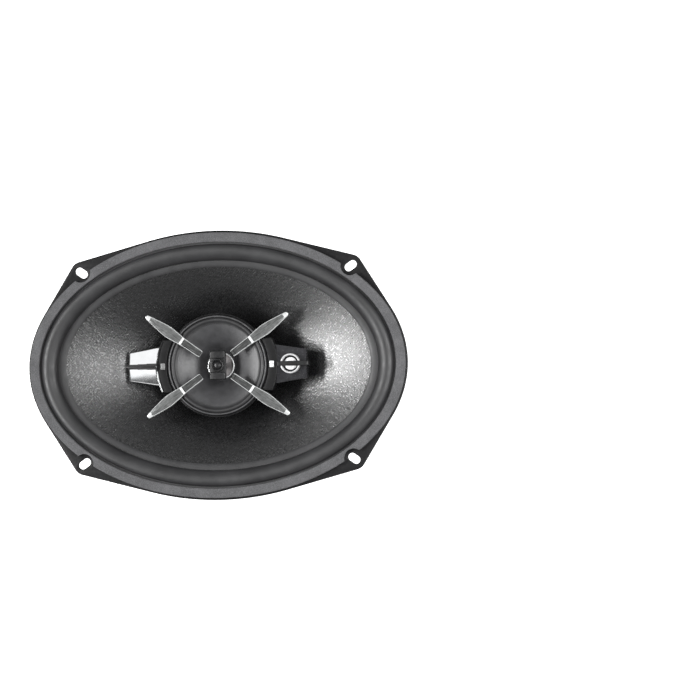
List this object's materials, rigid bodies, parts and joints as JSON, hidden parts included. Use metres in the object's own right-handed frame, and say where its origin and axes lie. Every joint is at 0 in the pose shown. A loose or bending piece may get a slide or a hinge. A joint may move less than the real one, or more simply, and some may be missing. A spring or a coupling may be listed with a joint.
{
  "type": "coaxial car speaker",
  "caption": "Oval coaxial car speaker: stamped basket with slotted ears, dished woven cone, and a central midrange and super tweeter on a post with bright crossed blades.",
  "frame": {"origin": "centre of the mounting plane, which is the back face of the flange", "axes": "+Z along the speaker's axis out of its front, +X along the oval's long axis, +Y towards the terminals"},
  "size_m": [0.235, 0.1644, 0.0695],
  "materials": {
    "basket_black": "satin",
    "gasket_foam": "matte",
    "surround_rubber": "satin",
    "spider_cloth": "matte",
    "woven_cone": "satin",
    "coil_former": "satin",
    "copper_wire": "satin",
    "brass_eyelet": "satin",
    "motor_steel": "satin",
    "ferrite": "matte",
    "neodymium": "polished",
    "cover_metal": "satin",
    "zinc_fastener": "satin",
    "phenolic_board": "satin",
    "plated_brass": "satin",
    "housing_plastic": "satin",
    "trim_gloss_black": "gloss",
    "mid_cone_film": "satin",
    "lead_sleeve": "satin",
    "brushed_chrome": "satin",
    "mirror_chrome": "polished",
    "pod_gloss_grey": "gloss",
    "clip_nickel": "satin",
    "capacitor_sleeve": "gloss",
    "dome_metal": "polished"
  },
  "bodies": {
    "frame": {"basket": "basket_black", "front_gasket": "gasket_foam", "surround": "surround_rubber", "mid_surround": "surround_rubber", "spider": "spider_cloth", "mid_spider": "spider_cloth", "tinsel_leads": "copper_wire", "top_plate": "motor_steel", "yoke": "motor_steel", "mid_top_plate": "motor_steel", "mid_yoke": "motor_steel", "tweeter_yoke": "motor_steel", "tweeter_pole_plate": "motor_steel", "magnet": "ferrite", "mid_magnet": "ferrite", "tweeter_magnet": "neodymium", "magnet_cover": "cover_metal", "post_bolt": "zinc_fastener", "bolt_washer": "zinc_fastener", "basket_rivets": "zinc_fastener", "terminal_rivets": "zinc_fastener", "terminal_board": "phenolic_board", "positive_terminal": "plated_brass", "negative_terminal": "plated_brass", "mid_housing": "housing_plastic", "centre_post": "housing_plastic", "mid_retaining_ring": "trim_gloss_black", "phase_plug": "trim_gloss_black", "left_pod_fin": "trim_gloss_black", "right_pod_fin": "trim_gloss_black", "mid_lead_wires": "lead_sleeve", "blade_upper_left": "brushed_chrome", "blade_upper_right": "brushed_chrome", "blade_lower_left": "brushed_chrome", "blade_lower_right": "brushed_chrome", "left_pod_cover": "mirror_chrome", "tweeter_trim_ring": "mirror_chrome", "right_pod_cover": "pod_gloss_grey", "left_pod_clip": "clip_nickel", "right_pod_clip": "clip_nickel", "crossover_capacitor": "capacitor_sleeve"},
    "woofer_diaphragm": {"cone": "woven_cone", "voice_coil_former": "coil_former", "voice_coil": "copper_wire", "lead_eyelets": "brass_eyelet"},
    "midrange_diaphragm": {"mid_cone": "mid_cone_film", "mid_coil_former": "coil_former", "mid_voice_coil": "copper_wire"},
    "super_tweeter_diaphragm": {"tweeter_diaphragm": "dome_metal", "tweeter_voice_coil": "copper_wire"}
  },
  "joints": [
    {"name": "woofer_excursion", "type": "slide", "parent": "frame", "child": "woofer_diaphragm", "axis": [0, 0, 1], "range_m": [-0.005, 0.005], "stiffness_N_per_m": 3300, "deforming": ["surround", "spider", "tinsel_leads", "mid_lead_wires"]},
    {"name": "midrange_excursion", "type": "slide", "parent": "frame", "child": "midrange_diaphragm", "axis": [0, 0, 1], "range_m": [-0.0008, 0.0008], "stiffness_N_per_m": 3000, "deforming": ["mid_surround", "mid_spider"]},
    {"name": "super_tweeter_excursion", "type": "slide", "parent": "frame", "child": "super_tweeter_diaphragm", "axis": [0, 0, 1], "range_m": [-0.0002, 0.0002], "stiffness_N_per_m": 2000}
  ]
}
